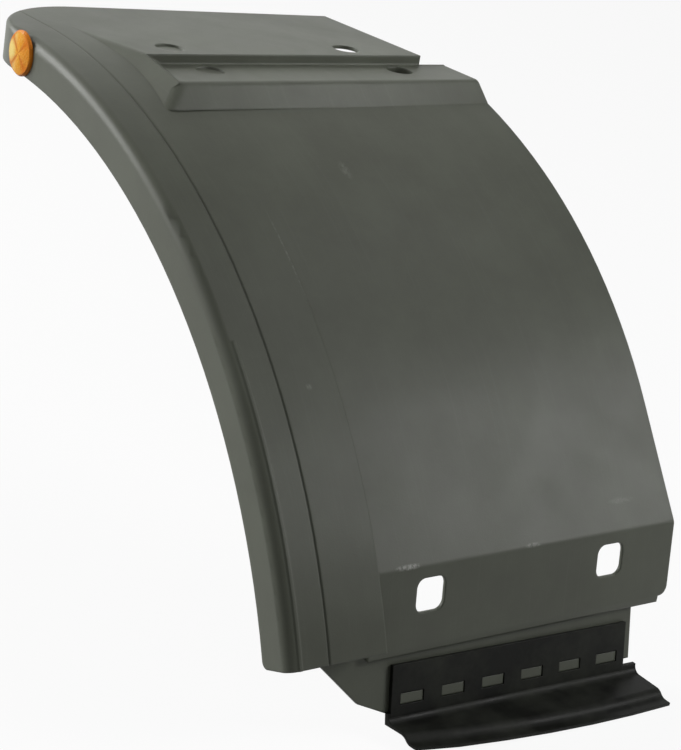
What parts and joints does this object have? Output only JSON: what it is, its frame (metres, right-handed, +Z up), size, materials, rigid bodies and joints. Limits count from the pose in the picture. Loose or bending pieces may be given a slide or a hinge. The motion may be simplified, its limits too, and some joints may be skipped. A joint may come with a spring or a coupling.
{
  "type": "axle mudguard",
  "caption": "Left-hand rear half of a truck axle mudguard: arched shell with side skirt, stepped mounting platform, drilled flange, clipped spray flap and round side reflector.",
  "frame": {"origin": "on the top face of the platform's upper level, midway between its round marks", "axes": "X across the vehicle from the outer skirt inboard, Y forward, Z up, with the wheel axle parallel to X"},
  "size_m": [0.4635, 0.7174, 0.4902],
  "materials": {
    "shell_plastic": "dark warm-grey moulded polypropylene with a fine satin grain",
    "flap_rubber": "black flexible moulding with a dull sheen",
    "lens_amber": "clear amber prismatic reflector lens",
    "base_plastic": "black moulded back cup and stud",
    "nut_steel": "plain zinc-plated steel"
  },
  "bodies": {
    "root": {"mudguard_shell": "shell_plastic", "spray_flap": "flap_rubber", "reflector_lens": "lens_amber", "reflector_base": "base_plastic", "reflector_nut": "nut_steel"}
  },
  "joints": []
}
